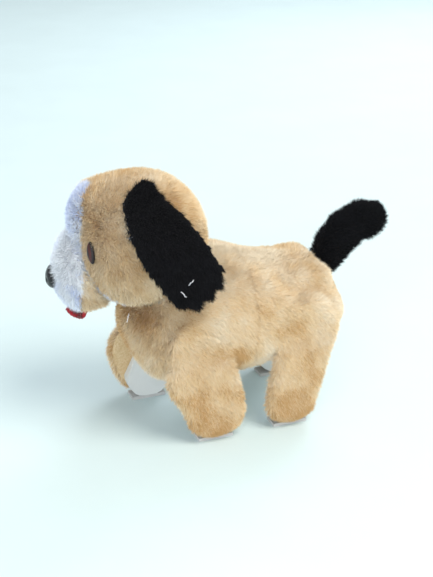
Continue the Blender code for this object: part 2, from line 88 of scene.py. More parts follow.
MM = 0.001
SHIFT = Vector((-3.1, -6.7, 0)) * MM
NECK = Vector((0, -34, 93)) * MM
NECK_AXIS = Vector((0, -math.sin(math.radians(16)), math.cos(math.radians(16))))
HEAD_TURN = math.radians(-16)
FACE = (
    Matrix.Translation(SHIFT + NECK)
    @ Matrix.Rotation(HEAD_TURN, 4, NECK_AXIS)
    @ Matrix.Translation(-NECK)
)
HEAD_CENTRE = Vector((0, -48, 120)) * MM
HEAD_RADII = np.array((40, 40, 41)) * MM
# Trunk stations: y, top, bottom and half width, in millimetres before the shift.
TRUNK = np.array(
    (
        (-62, 76, 62, 10),
        (-56, 90, 47, 22),
        (-47, 104, 33, 36),
        (-25, 110, 32, 42),
        (0, 109, 32, 42),
        (25, 104, 33, 42),
        (45, 100, 36, 42),
        (65, 98, 38, 40),
        (73, 89, 42, 31),
        (78.5, 76, 52, 16),
    )
)
TRUNK_POWER = 2.6
# Hips and swing of the legs: y of the pivots and the height of the thigh, before the shift.
HIPS = (("front", -25.5 * MM), ("hind", 43.5 * MM))
THIGH_Z = 62 * MM
CLOTH = 1.6 * MM
LEGS = ("front_left", "front_right", "hind_left", "hind_right")
TAIL_TIP = SHIFT + Vector((0, 113, 108)) * MM
# Even skin of the coat: size of its grid, rounds of smoothing, and depth that counts as outside.
COAT_VOXEL = 1.9 * MM
COAT_RELAX = 10
OUTSIDE = 0.25 * MM
# Left ear seen from the side: start of its middle line, run of that line as y and z, and length, in mm.
EAR_TOP = np.array((-49, 152))
EAR_RUN = (31, -59)
EAR_LENGTH = 66.6
NOSE_WIDE, NOSE_DEEP, NOSE_TALL = 8.3, 5.6, 7.6
EYE_SLANT = math.radians(24)
EYE_FORM = (0.6, 1.22, 0.8, 1)
# Half section of an eye: distance from its axis and height, in radii.
EYE_PROFILE = (
    (0, 0.5), (0.28, 0.48), (0.4, 0.45), (0.68, 0.34), (0.86, 0.18), (0.96, 0.04),
    (1.0, -0.12), (0.85, -0.3), (0, -0.34),
)
PUPIL_REACH, IRIS_REACH = 0.36, 0.86
TUFT_VALUES = ("grow", "lie", "tone", "zone", "tall")
# Lamps: name, place, size in metres, power setting and colour.
LAMPS = (
    ("key", (0.75, 0.35, 1.25), 0.9, "key", (255, 250, 240)),
    ("fill", (1.15, -0.75, 0.5), 0.9, "fill", (240, 244, 255)),
    ("back", (-0.9, 0.9, 0.9), 0.9, "fill", (245, 248, 255)),
)


def linear(red, green, blue):
    """A screen colour from 0 to 255, as linear light with full alpha."""
    out = []
    for value in (red, green, blue):
        c = value / 255
        out.append(c / 12.92 if c <= 0.04045 else ((c + 0.055) / 1.055) ** 2.4)
    return (*out, 1.0)


# ---------------------------------------------------------------- settings


def shade(name, description, red, green, blue):
    """A colour setting whose default is a screen colour."""
    return bpy.props.FloatVectorProperty(
        name=name, description=description, subtype="COLOR", size=4,
        default=linear(red, green, blue), min=0, max=1,
    )


class PuppyCloth(bpy.types.PropertyGroup):
    """Sizes of the pile fabric."""

    pile_length: bpy.props.FloatProperty(
        name="Pile length", description="Length of one tuft", default=4.0 * MM, unit="LENGTH"
    )
    pile_width: bpy.props.FloatProperty(
        name="Tuft width", description="Width of one tuft at its root", default=0.48 * MM, unit="LENGTH"
    )
    density: bpy.props.FloatProperty(
        name="Density", description="Tufts on a square metre", default=10.5e6, min=0
    )
    inset: bpy.props.FloatProperty(
        name="Backing depth", description="How far the backing lies under the pile tips",
        default=2.4 * MM, unit="LENGTH",
    )
    seed: bpy.props.IntProperty(name="Seed", description="Seed of every random choice", default=7)


class PuppyColours(bpy.types.PropertyGroup):
    """Colours of the fabric and the face."""

    pale: shade("Pale tan", "Combed streaks", 243, 231, 209)
    tan: shade("Tan", "Main coat", 240, 222, 192)
    warm: shade("Warm tan", "Deeper coat", 233, 208, 166)
    amber: shade("Amber", "Patches at the hip and on the legs", 212, 174, 121)
    white: shade("White", "Snout and blaze", 250, 252, 255)
    # Painted shade: the cool white is a darker, bluer copy of the white that stands for white pile in shade.
    painted_shade_white: shade("Cool white", "Depths of the white pile", 230, 237, 255)
    black: shade("Black", "Ears and tail", 11, 11, 14)
    iris: shade("Iris", "Brown of the eyes", 66, 20, 12)
    felt: shade("Felt red", "Tongue", 196, 26, 40)


class PuppyStudio(bpy.types.PropertyGroup):
    """Camera, floor and lights."""

    azimuth: bpy.props.FloatProperty(
        name="Azimuth", description="Camera direction round the puppy", default=math.radians(68),
        subtype="ANGLE",
    )
    elevation: bpy.props.FloatProperty(
        name="Elevation", description="Camera height above the horizon", default=math.radians(23),
        subtype="ANGLE",
    )
    distance: bpy.props.FloatProperty(
        name="Distance", description="Camera to the middle of the puppy", default=0.8, unit="LENGTH"
    )
    lens: bpy.props.FloatProperty(name="Lens", description="Focal length in millimetres", default=82)
    key: bpy.props.FloatProperty(name="Key", description="Power of the main light in watts", default=16)
    fill: bpy.props.FloatProperty(name="Fill", description="Power of the fill lights in watts", default=9.5)
    room: bpy.props.FloatProperty(name="Room", description="Strength of the room light", default=0.72)
    floor: shade("Floor", "Colour of the floor", 214, 230, 230)


# ---------------------------------------------------------------- meshes


def settings():
    return bpy.context.scene.puppy_cloth, bpy.context.scene.puppy_colours


def place_object(name, mesh):
    """Puts a mesh in the scene as an object at the origin."""
    made = bpy.data.objects.new(name, mesh)
    bpy.context.scene.collection.objects.link(made)
    return made


def mesh_from(name, bm):
    """Writes a bmesh to a new mesh with smooth faces and frees it."""
    mesh = bpy.data.meshes.new(name)
    for face in bm.faces:
        face.smooth = True
    bm.to_mesh(mesh)
    bm.free()
    return mesh


def settle(made):
    """Applies the object's modifiers, so that its mesh is final."""
    view = bpy.context.evaluated_depsgraph_get()
    mesh = bpy.data.meshes.new_from_object(made.evaluated_get(view))
    made.modifiers.clear()
    old = made.data
    made.data = mesh
    mesh.name = made.name
    bpy.data.meshes.remove(old)
    return made


def points_of(mesh):
    out = np.empty(len(mesh.vertices) * 3)
    mesh.vertices.foreach_get("co", out)
    return out.reshape(-1, 3)


def normals_of(mesh):
    out = np.empty(len(mesh.vertices) * 3)
    mesh.vertex_normals.foreach_get("vector", out)
    return out.reshape(-1, 3)


def write_points(mesh, points):
    mesh.vertices.foreach_set("co", points.ravel())
    mesh.update()


def write_values(mesh, name, values):
    kind = "FLOAT_VECTOR" if values.ndim == 2 else "FLOAT"
    layer = mesh.attributes.get(name) or mesh.attributes.new(name, kind, "POINT")
    layer.data.foreach_set("vector" if values.ndim == 2 else "value", values.ravel())


def ripple(points, size, seed):
    """Smooth noise from -1 to 1 at each point, with features of that size."""
    offset = Vector((seed * 3.17, seed * 1.31, seed * 2.23))
    return np.array([noise.noise(Vector(p) / size + offset) for p in points])


def to_face(points):
    """Points in the head's own unturned frame."""
    back = np.array(FACE.inverted())
    return points @ back[:3, :3].T + back[:3, 3]


def toward(x, y, z):
    """One direction for each point, from its three parts."""
    return np.stack(np.broadcast_arrays(x, y, z), 1)


def face_turned(flow):
    """Directions of the head's own frame, turned with the head."""
    return flow @ np.array(FACE.to_3x3()).T


def block(bm, size, middle):
    """Adds a box of that size about that point."""
    verts = bmesh.ops.create_cube(bm, size=1.0)["verts"]
    bmesh.ops.scale(bm, verts=verts, vec=size)
    bmesh.ops.translate(bm, verts=verts, vec=middle)
    return verts


def even_out(made, voxel, relax):
    """Remeshes a skin to an even grid, relaxes it and makes it final."""
    even = made.modifiers.new("Even", "REMESH")
    even.mode = "VOXEL"
    even.voxel_size = voxel
    even.use_smooth_shade = True
    soft = made.modifiers.new("Relax", "SMOOTH")
    soft.factor = 0.5
    soft.iterations = relax
    return settle(made)


def backing(name, node, voxel, relax):
    """An even closed skin from the soft CAD solid."""
    bm = bmesh.new()
    bm.from_mesh(frame["nodes"][node].data)
    bmesh.ops.remove_doubles(bm, verts=bm.verts, dist=0.01 * MM)
    return even_out(place_object(name, mesh_from(name, bm)), voxel, relax)


def sink(made, outer, depth):
    """Moves the outer side of a skin in by depth, so that the pile tips reach the outline."""
    mesh = made.data
    move = normals_of(mesh) * (depth * np.clip(outer, 0, 1))[:, None]
    write_points(mesh, points_of(mesh) - move)


def along_surface(normals, flow):
    """The part of flow that lies in the surface, as unit vectors."""
    flat = flow - normals * (flow * normals).sum(1)[:, None]
    size = np.linalg.norm(flat, axis=1)
    return flat / np.maximum(size, 1e-6)[:, None]


def wear(made, body, slot, *nodes, fill=None):
    """The piece rides on its body and stands for those nodes; the finish named by slot is not used."""
    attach(made, body)
    if nodes:
        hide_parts(*nodes)
    return made


# ---------------------------------------------------------------- node trees


def node(tree, kind, inputs=None, **options):
    """A node with its options set and its inputs given as values or linked sockets."""
    made = tree.nodes.new(kind)
    for name, value in options.items():
        setattr(made, name, value)
    for name, value in (inputs or {}).items():
        socket = made.inputs[name]
        if isinstance(value, bpy.types.NodeSocket):
            tree.links.new(value, socket)
        else:
            socket.default_value = value
    return made


def plain(name, colour, **values):
    """A shader with the same value all over, for one shade of pile or thread."""
    mat = bpy.data.materials.get(name)
    if mat:
        return mat
    mat = bpy.data.materials.new(name)
    mat.use_nodes = True
    shader = mat.node_tree.nodes["Principled BSDF"]
    shader.inputs["Base Color"].default_value = colour
    shader.inputs["Specular IOR Level"].default_value = 0.25
    for key, value in values.items():
        shader.inputs[key.replace("_", " ").title()].default_value = value
    return mat


def textured(name, **values):
    """A new material with its tree, its shader and Object coordinates."""
    mat = bpy.data.materials.new(name)
    mat.use_nodes = True
    tree = mat.node_tree
    shader = tree.nodes["Principled BSDF"]
    for key, value in values.items():
        shader.inputs[key.replace("_", " ").title()].default_value = value
    place = node(tree, "ShaderNodeTexCoord").outputs["Object"]
    return mat, tree, shader, place


def ramp(tree, factor, *stops):
    """A colour ramp over (position, colour) stops."""
    made = node(tree, "ShaderNodeValToRGB", {"Fac": factor})
    bar = made.color_ramp.elements
    bar[0].position, bar[0].color = stops[0]
    bar[1].position, bar[1].color = stops[-1]
    for position, colour in stops[1:-1]:
        bar.new(position).color = colour
    return made.outputs["Color"]


def noise_at(tree, place, scale, detail=3.0, rough=0.55):
    return node(
        tree,
        "ShaderNodeTexNoise",
        {"Vector": place, "Scale": scale, "Detail": detail, "Roughness": rough},
    ).outputs["Fac"]


def paint(tree, shader, colour):
    """Links a colour to the shader."""
    tree.links.new(colour, shader.inputs["Base Color"])


def vary_gloss(tree, shader, value, low, high):
    """Lets the roughness run from low to high with a value."""
    made = node(tree, "ShaderNodeMapRange", {"Value": value, "To Min": low, "To Max": high})
    tree.links.new(made.outputs["Result"], shader.inputs["Roughness"])


def bump(tree, shader, height, strength, distance):
    made = node(
        tree, "ShaderNodeBump", {"Height": height, "Strength": strength, "Distance": distance}
    )
    tree.links.new(made.outputs["Normal"], shader.inputs["Normal"])


def scaled(colour, factor):
    return (*(min(1.0, c * factor) for c in colour[:3]), 1.0)


def knit(name, light, dark):
    """Knitted backing of a pile fabric: ribs, crossing loops and uneven dye."""
    mat, tree, shader, place = textured(name, roughness=0.95, sheen_weight=0.2)
    ribs = node(
        tree, "ShaderNodeTexWave", {"Vector": place, "Scale": 260.0, "Distortion": 2.0, "Detail": 1.0}
    ).outputs["Fac"]
    dye = noise_at(tree, place, 55.0)
    fleck = noise_at(tree, place, 900.0, 2.0)
    mix = node(tree, "ShaderNodeMath", {0: dye, 1: fleck}, operation="MULTIPLY").outputs[0]
    paint(tree, shader, ramp(tree, mix, (0.1, dark), (0.45, light)))
    height = node(tree, "ShaderNodeMath", {0: ribs, 1: fleck}, operation="ADD").outputs[0]
    bump(tree, shader, height, 0.6, 0.4 * MM)
    return mat


def line_with(skin, name, light, dark):
    """Gives a skin its knitted backing."""
    skin.data.materials.clear()
    skin.data.materials.append(bpy.data.materials.get(name) or knit(name, light, dark))


def line_tan(skin, name):
    colours = settings()[1]
    line_with(skin, name, scaled(colours.warm, 0.95), scaled(colours.amber, 0.85))


def line_black(skin, name):
    colours = settings()[1]
    line_with(skin, name, scaled(colours.black, 1.5), scaled(colours.black, 0.5))


def moulded(name, colour, roughness, grain, tint=0.9):
    """Moulded plastic: faint flow marks, fine grain, and roughness that varies."""
    mat, tree, shader, place = textured(name)
    shader.inputs["Specular IOR Level"].default_value = 0.45
    flow = noise_at(tree, place, 70.0, 4.0)
    fine = noise_at(tree, place, grain, 2.0)
    paint(tree, shader, ramp(tree, flow, (0.3, scaled(colour, tint)), (0.7, colour)))
    vary_gloss(tree, shader, fine, roughness - 0.08, roughness + 0.1)
    bump(tree, shader, fine, 0.25, 0.06 * MM)
    return mat


def metal(name, colour, roughness):
    """Plated steel: drawn lines, dull spots and a faint tarnish."""
    mat, tree, shader, place = textured(name, metallic=1.0)
    drawn = node(
        tree, "ShaderNodeMapping", {"Vector": place, "Scale": (40.0, 900.0, 900.0)}
    ).outputs["Vector"]
    lines = noise_at(tree, drawn, 1.0, 2.0)
    spots = noise_at(tree, place, 160.0, 5.0)
    paint(tree, shader, ramp(tree, spots, (0.35, scaled(colour, 0.72)), (0.62, colour)))
    vary_gloss(tree, shader, lines, roughness - 0.1, roughness + 0.14)
    bump(tree, shader, lines, 0.2, 0.03 * MM)
    return mat


# ---------------------------------------------------------------- pile


def blade(name, length, width):
    """One tuft: a narrow blade that tapers to a point."""
    bm = bmesh.new()
    bmesh.ops.create_grid(bm, x_segments=1, y_segments=1, size=0.5)
    bmesh.ops.rotate(bm, verts=bm.verts, cent=(0, 0, 0), matrix=Matrix.Rotation(math.pi / 2, 3, "X"))
    bmesh.ops.translate(bm, verts=bm.verts, vec=(0, 0, 0.5))
    bmesh.ops.scale(bm, verts=bm.verts, vec=(width, 1, length))
    tip = [v for v in bm.verts if v.co.z > 0.9 * length]
    bmesh.ops.pointmerge(bm, verts=tip, merge_co=(0, 0, length))
    made = place_object(name, mesh_from(name, bm))
    made.hide_render = True
    made.hide_viewport = True
    return made


def pile_tree(name, tuft, shades, split, density, rise, comb, ruffle, seed):
    """Geometry nodes that grow tufts on a skin from its grow, lie, tone and zone values.

    The first split shades serve zone 0 and the rest serve zone 1.
    """
    tree = bpy.data.node_groups.new(name, "GeometryNodeTree")
    tree.interface.new_socket(name="Geometry", in_out="INPUT", socket_type="NodeSocketGeometry")
    tree.interface.new_socket(name="Geometry", in_out="OUTPUT", socket_type="NodeSocketGeometry")
    skin = node(tree, "NodeGroupInput").outputs["Geometry"]

    def value_of(label, kind="FLOAT"):
        made = node(tree, "GeometryNodeInputNamedAttribute", {"Name": label}, data_type=kind)
        return made.outputs["Attribute"]

    def sum_of(a, b, operation):
        return node(tree, "ShaderNodeMath", {0: a, 1: b}, operation=operation).outputs[0]

    def vector_of(a, b, operation, **extra):
        made = node(tree, "ShaderNodeVectorMath", operation=operation)
        for slot, value in ((0, a), (1, b)):
            if isinstance(value, bpy.types.NodeSocket):
                tree.links.new(value, made.inputs[slot])
            elif value is not None:
                made.inputs[slot].default_value = value
        if "scale" in extra:
            made.inputs["Scale"].default_value = extra["scale"]
        return made.outputs["Vector"]

    def random_float(low, high, offset):
        made = node(tree, "FunctionNodeRandomValue", data_type="FLOAT")
        made.inputs[2].default_value = low
        made.inputs[3].default_value = high
        made.inputs["Seed"].default_value = seed + offset
        return made.outputs[1]

    def random_vector(reach, offset):
        made = node(tree, "FunctionNodeRandomValue", data_type="FLOAT_VECTOR")
        made.inputs[0].default_value = (-reach, -reach, -reach)
        made.inputs[1].default_value = (reach, reach, reach)
        made.inputs["Seed"].default_value = seed + offset
        return made.outputs[0]

    spread = node(
        tree,
        "GeometryNodeDistributePointsOnFaces",
        {"Mesh": skin, "Seed": seed, "Density": sum_of(value_of("grow"), density, "MULTIPLY")},
        distribute_method="RANDOM",
    )
    normal = spread.outputs["Normal"]
    clump = node(tree, "ShaderNodeTexNoise", {"Scale": 260.0, "Detail": 2.0}).outputs["Color"]
    clump = vector_of(clump, (0.5, 0.5, 0.5), "SUBTRACT")
    aim = vector_of(normal, None, "SCALE", scale=rise)
    aim = vector_of(aim, vector_of(value_of("lie", "FLOAT_VECTOR"), None, "SCALE", scale=comb), "ADD")
    aim = vector_of(aim, vector_of(clump, None, "SCALE", scale=ruffle * 2.6), "ADD")
    aim = vector_of(aim, random_vector(ruffle, 1), "ADD")
    align = "FunctionNodeAlignRotationToVector"
    stand = node(tree, align, {"Vector": aim}, axis="Z", pivot_axis="AUTO").outputs["Rotation"]
    held = {"Rotation": stand, "Vector": normal}
    face = node(tree, align, held, axis="Y", pivot_axis="Z").outputs["Rotation"]
    spin = {"Axis": (0.0, 0.0, 1.0), "Angle": random_float(-0.9, 0.9, 2)}
    roll = node(tree, "FunctionNodeAxisAngleToRotation", spin).outputs["Rotation"]
    both = {"Rotation": face, "Rotate By": roll}
    turned = node(tree, "FunctionNodeRotateRotation", both, rotation_space="LOCAL").outputs["Rotation"]
    in_b = node(
        tree,
        "FunctionNodeCompare",
        {0: sum_of(value_of("zone"), random_float(-0.12, 0.12, 4), "ADD"), 1: 0.5},
        data_type="FLOAT",
        operation="GREATER_THAN",
    ).outputs["Result"]
    shift = random_float(-0.17, 0.17, 3)
    picks = []
    for first, count in ((0, split), (split, len(shades) - split)):
        tone = sum_of(sum_of(value_of("tone"), shift, "ADD"), 0.999, "MINIMUM")
        tone = sum_of(sum_of(tone, 0.0, "MAXIMUM"), float(max(count, 1)), "MULTIPLY")
        whole = node(tree, "ShaderNodeMath", {0: tone}, operation="FLOOR").outputs[0]
        picks.append(sum_of(whole, float(first), "ADD"))
    choice = node(
        tree,
        "GeometryNodeSwitch",
        {"Switch": in_b, "False": picks[0], "True": picks[1]},
        input_type="FLOAT",
    )
    shape = node(tree, "GeometryNodeObjectInfo", {"Object": tuft}).outputs["Geometry"]
    together = tree.nodes.new("GeometryNodeGeometryToInstance")
    for shade in reversed(shades):
        painted = node(tree, "GeometryNodeSetMaterial", {"Geometry": shape, "Material": shade})
        tree.links.new(painted.outputs["Geometry"], together.inputs["Geometry"])
    size = sum_of(random_float(0.72, 1.2, 5), value_of("tall"), "MULTIPLY")
    grown = node(
        tree,
        "GeometryNodeInstanceOnPoints",
        {
            "Points": spread.outputs["Points"],
            "Instance": together.outputs["Instances"],
            "Pick Instance": True,
            "Rotation": turned,
        },
    )
    tree.links.new(choice.outputs["Output"], grown.inputs["Instance Index"])
    tree.links.new(size, grown.inputs["Scale"])
    out = node(tree, "GeometryNodeRealizeInstances", {"Geometry": grown.outputs["Instances"]})
    end = node(tree, "NodeGroupOutput")
    tree.links.new(out.outputs["Geometry"], end.inputs["Geometry"])
    return tree


def grow_pile(name, skin, mask, tree):
    """Grows the tufts of one region of a skin as a piece of its own."""
    made = place_object(name, skin.data.copy())
    if mask is not None:
        grow = np.empty(len(made.data.vertices))
        made.data.attributes["grow"].data.foreach_get("value", grow)
        write_values(made.data, "grow", grow * mask)
    made.modifiers.new("Pile", "NODES").node_group = tree
    settle(made)
    for layer in [a.name for a in made.data.attributes if a.name in TUFT_VALUES]:
        made.data.attributes.remove(made.data.attributes[layer])
    return made


def dress(skin, grow, lie, tone, zone=None, tall=None):
    """Writes the values that the pile grows by."""
    mesh = skin.data
    count = len(mesh.vertices)
    write_values(mesh, "grow", grow.astype(float))
    write_values(mesh, "lie", along_surface(normals_of(mesh), lie))
    write_values(mesh, "tone", np.clip(tone, 0, 1))
    write_values(mesh, "zone", np.zeros(count) if zone is None else zone.astype(float))
    write_values(mesh, "tall", np.ones(count) if tall is None else tall.astype(float))


def fibre(name, colour, sheen=0.25):
    """One shade of plush fibre."""
    return plain(name, colour, roughness=0.82, sheen_weight=sheen, sheen_roughness=0.4)


def tan_shades():
    colours = settings()[1]
    return [
        fibre("pile_pale_tan", colours.pale),
        fibre("pile_tan", colours.tan),
        fibre("pile_warm_tan", colours.warm),
        fibre("pile_amber", colours.amber),
    ]


def white_shades():
    colours = settings()[1]
    # The cool white shade is painted shade on the white pile.
    return [fibre("pile_white", colours.white), fibre("pile_cool_white", colours.painted_shade_white)]


def black_shades():
    colours = settings()[1]
    return [
        fibre("pile_black", colours.black, 0.04),
        fibre("pile_soft_black", scaled(colours.black, 1.9), 0.04),
        fibre("pile_deep_black", scaled(colours.black, 0.4), 0.04),
    ]


def pile_for(name, shades, split, rise=0.8, comb=0.62, ruffle=0.3, size=1.0, thick=1.0):
    """The tree for one kind of pile, with its own tuft."""
    cloth = settings()[0]
    tuft = blade(f"tuft_{name}", cloth.pile_length * size, cloth.pile_width * thick)
    return pile_tree(
        f"pile_{name}", tuft, shades, split, cloth.density, rise, comb, ruffle, cloth.seed
    )


# ---------------------------------------------------------------- operators


class PUPPY_OT_studio(bpy.types.Operator):
    """Adds the pale floor, the soft lights and the camera"""

    bl_idname = "puppy.studio"
    bl_label = "Studio"

    def execute(self, context):
        studio = context.scene.puppy_studio
        target = Vector((-3.1, -6.7, 81)) * MM
        away = Vector(
            (
                math.sin(studio.azimuth) * math.cos(studio.elevation),
                -math.cos(studio.azimuth) * math.cos(studio.elevation),
                math.sin(studio.elevation),
            )
        )
        lens = bpy.data.cameras.new("camera")
        lens.lens = studio.lens
        lens.clip_start = 0.01
        camera = bpy.data.objects.new("camera", lens)
        camera.location = target + away * studio.distance
        camera.rotation_euler = (-away).to_track_quat("-Z", "Y").to_euler()
        context.scene.collection.objects.link(camera)
        context.scene.camera = camera
        context.scene.view_settings.view_transform = "Standard"
        bm = bmesh.new()
        bmesh.ops.create_grid(bm, x_segments=2, y_segments=2, size=6.0)
        floor = place_object("floor", mesh_from("floor", bm))
        floor.data.materials.append(self.floor_finish(studio))
        world = bpy.data.worlds.new("room")
        world.use_nodes = True
        world.node_tree.nodes["Background"].inputs["Color"].default_value = linear(232, 241, 246)
        world.node_tree.nodes["Background"].inputs["Strength"].default_value = studio.room
        context.scene.world = world
        for name, place, size, power, colour in LAMPS:
            self.lamp(name, place, target, size, getattr(studio, power), linear(*colour))
        return {"FINISHED"}

    def floor_finish(self, studio):
        """Matt painted board with a faint mottle."""
        mat, tree, shader, place = textured("floor_board", roughness=0.9)
        mottle = noise_at(tree, place, 14.0, 5.0)
        paint(tree, shader, ramp(tree, mottle, (0.3, scaled(studio.floor, 0.97)), (0.7, studio.floor)))
        bump(tree, shader, noise_at(tree, place, 500.0), 0.05, 0.1 * MM)
        return mat

    def lamp(self, name, place, target, size, power, colour):
        light = bpy.data.lights.new(name, "AREA")
        light.shape = "DISK"
        light.size = size
        light.energy = power
        light.color = colour[:3]
        made = bpy.data.objects.new(name, light)
        made.location = place
        made.rotation_euler = (target - Vector(place)).to_track_quat("-Z", "Y").to_euler()
        bpy.context.scene.collection.objects.link(made)


class PUPPY_OT_coat(bpy.types.Operator):
    """Makes the stuffed coat and its tan pile"""

    bl_idname = "puppy.coat"
    bl_label = "Body coat"

    def execute(self, context):
        cloth = settings()[0]
        outside = self.stuffed("coat_cloth", cloth.inset)
        tree_out = BVHTree.FromObject(outside, context.evaluated_depsgraph_get())
        skin = self.open_up(outside, self.stuffed("cut_inside", cloth.inset + CLOTH))
        points = points_of(skin.data) - np.array(SHIFT)
        outer = np.array([tree_out.find_nearest(v.co)[3] < OUTSIDE for v in skin.data.vertices], float)
        self.swell(skin, points, outer)
        y, z = points[:, 1] / MM, points[:, 2] / MM
        tone = 0.40 + 0.38 * ripple(points, 26 * MM, 1) + 0.24 * ripple(points, 9 * MM, 2)
        # Painted shade: the chest under the head is pushed towards the deeper amber shades.
        tone += 0.4 * np.clip((-42 - y) / 12, 0, 1) * np.clip((92 - z) / 14, 0, 1)
        tone += 0.42 * np.exp(-(((y - 36) / 15) ** 2 + ((z - 62) / 10) ** 2))
        tone += 0.30 * np.exp(-(((y + 8) / 12) ** 2 + ((z - 52) / 9) ** 2))
        # Painted highlight: the top of the back is pushed towards the paler shades.
        tone -= 0.28 * np.clip((z - 88) / 20, 0, 1)
        down = -0.55 - 0.3 * np.clip((80 - z) / 40, 0, 1)
        flow = toward(0.25 * np.sign(points[:, 0]), 0.75, down)
        flow[:, 1] += 0.5 * ripple(points, 22 * MM, 3)
        flow[:, 2] += 0.5 * ripple(points, 22 * MM, 4)
        dress(skin, outer, flow, tone)
        line_tan(skin, "coat_backing")
        tree = pile_for("coat", tan_shades(), 4, ruffle=0.38)
        left, front = points[:, 0] > 0, y < 8
        regions = {
            "coat_pile_shoulder_left": left & front,
            "coat_pile_shoulder_right": ~left & front,
            "coat_pile_haunch_left": left & ~front,
            "coat_pile_haunch_right": ~left & ~front,
        }
        for name, mask in regions.items():
            wear(grow_pile(name, skin, mask, tree), "chassis", "tan_plush")
        wear(skin, "chassis", "tan_plush", "body_coat", fill=0.9)
        return {"FINISHED"}

    def stuffed(self, name, inset):
        """The whole trunk with its four thighs, drawn in by inset."""
        bm = bmesh.new()
        bmesh.ops.create_circle(bm, segments=48, radius=1.0, cap_ends=True)
        turn = Matrix.Rotation(math.pi / 2, 3, "X")
        bmesh.ops.rotate(bm, verts=bm.verts, cent=(0, 0, 0), matrix=turn)
        ends = list(bm.faces)
        ring = list(bm.verts)
        spots = np.linspace(TRUNK[0, 0], TRUNK[-1, 0], 40)
        rows = [np.interp(spots, TRUNK[:, 0], TRUNK[:, i]) * MM for i in (1, 2, 3)]
        angles = {v: math.atan2(v.co.z, v.co.x) for v in ring}
        for step, (y, top, bottom, half) in enumerate(zip(spots * MM, *rows)):
            if step:
                grown = bmesh.ops.extrude_face_region(bm, geom=ends)["geom"]
                if step > 1:
                    bmesh.ops.delete(bm, geom=ends, context="FACES_KEEP_BOUNDARY")
                ring = [g for g in grown if isinstance(g, bmesh.types.BMVert)]
                ends = [g for g in grown if isinstance(g, bmesh.types.BMFace)]
                angles = {v: math.atan2(v.co.z - middle, v.co.x) for v in ring}
            middle = (top + bottom) / 2
            tall = (top - bottom) / 2 - inset
            edge = inset * (1 - 2 * step / (len(spots) - 1))
            for v, angle in angles.items():
                across, up = math.cos(angle), math.sin(angle)
                size = (abs(across) ** TRUNK_POWER + abs(up) ** TRUNK_POWER) ** (-1 / TRUNK_POWER)
                v.co = ((half - inset) * across * size, y + edge, middle + tall * up * size)
        for _, hip in HIPS:
            for side in (1, -1):
                reach = 41.6 * MM - inset
                place = Matrix.Translation((side * reach / 2, hip, THIGH_Z))
                place @= Matrix.Rotation(side * math.pi / 2, 4, "Y")
                bmesh.ops.create_cone(
                    bm, segments=32, radius1=26 * MM - inset, radius2=21 * MM - inset, depth=reach,
                    cap_ends=True, matrix=place,
                )
        spare = 5.4 * MM - inset
        low, high = Vector((-22, 20, 60)) * MM, Vector((22, 62, 90)) * MM
        cover = block(bm, high - low + Vector((2, 2, 2)) * spare, (high + low) / 2)
        corners = list({edge for v in cover for edge in v.link_edges})
        bmesh.ops.bevel(
            bm, geom=corners, offset=4.5 * MM, segments=4, profile=0.5, affect="EDGES", material=-1
        )
        bmesh.ops.recalc_face_normals(bm, faces=bm.faces)
        bmesh.ops.translate(bm, verts=bm.verts, vec=SHIFT)
        return even_out(place_object(name, mesh_from(name, bm)), COAT_VOXEL, COAT_RELAX)

    def open_up(self, made, inside):
        """Hollows the coat and opens it for the head, the tail, the casing and the legs."""
        cutters = [inside]
        bm = bmesh.new()
        bmesh.ops.create_icosphere(bm, subdivisions=4, radius=1.0)
        bmesh.ops.scale(bm, verts=bm.verts, vec=Vector((40.4, 40.8, 41.2)) * MM)
        bmesh.ops.translate(bm, verts=bm.verts, vec=HEAD_CENTRE + SHIFT)
        cutters.append(place_object("cut_head", mesh_from("cut_head", bm)))
        blocks = [((-25, -41, -10), (25, 64.5, 49)), ((-10.5, 62, 79), (10.5, 84, 110))]
        for _, hip in HIPS:
            for low, high in ((25.5, 46), (-46, -25.5)):
                blocks.append(((low, hip / MM - 17, -10), (high, hip / MM + 17, 45)))
        for number, (low, high) in enumerate(blocks):
            bm = bmesh.new()
            low, high = Vector(low) * MM, Vector(high) * MM
            block(bm, high - low, (high + low) / 2 + SHIFT)
            cutters.append(place_object(f"cut_{number}", mesh_from(f"cut_{number}", bm)))
        for cutter in cutters:
            cut = made.modifiers.new(cutter.name, "BOOLEAN")
            cut.operation = "DIFFERENCE"
            cut.solver = "EXACT"
            cut.object = cutter
        settle(made)
        for cutter in cutters:
            bpy.data.objects.remove(cutter)
        return made

    def swell(self, skin, points, outer):
        """Gentle unevenness of the stuffing, under the pile."""
        rise = ripple(points, 24 * MM, 5) * 0.9 * MM * outer
        write_points(skin.data, points_of(skin.data) + normals_of(skin.data) * rise[:, None])


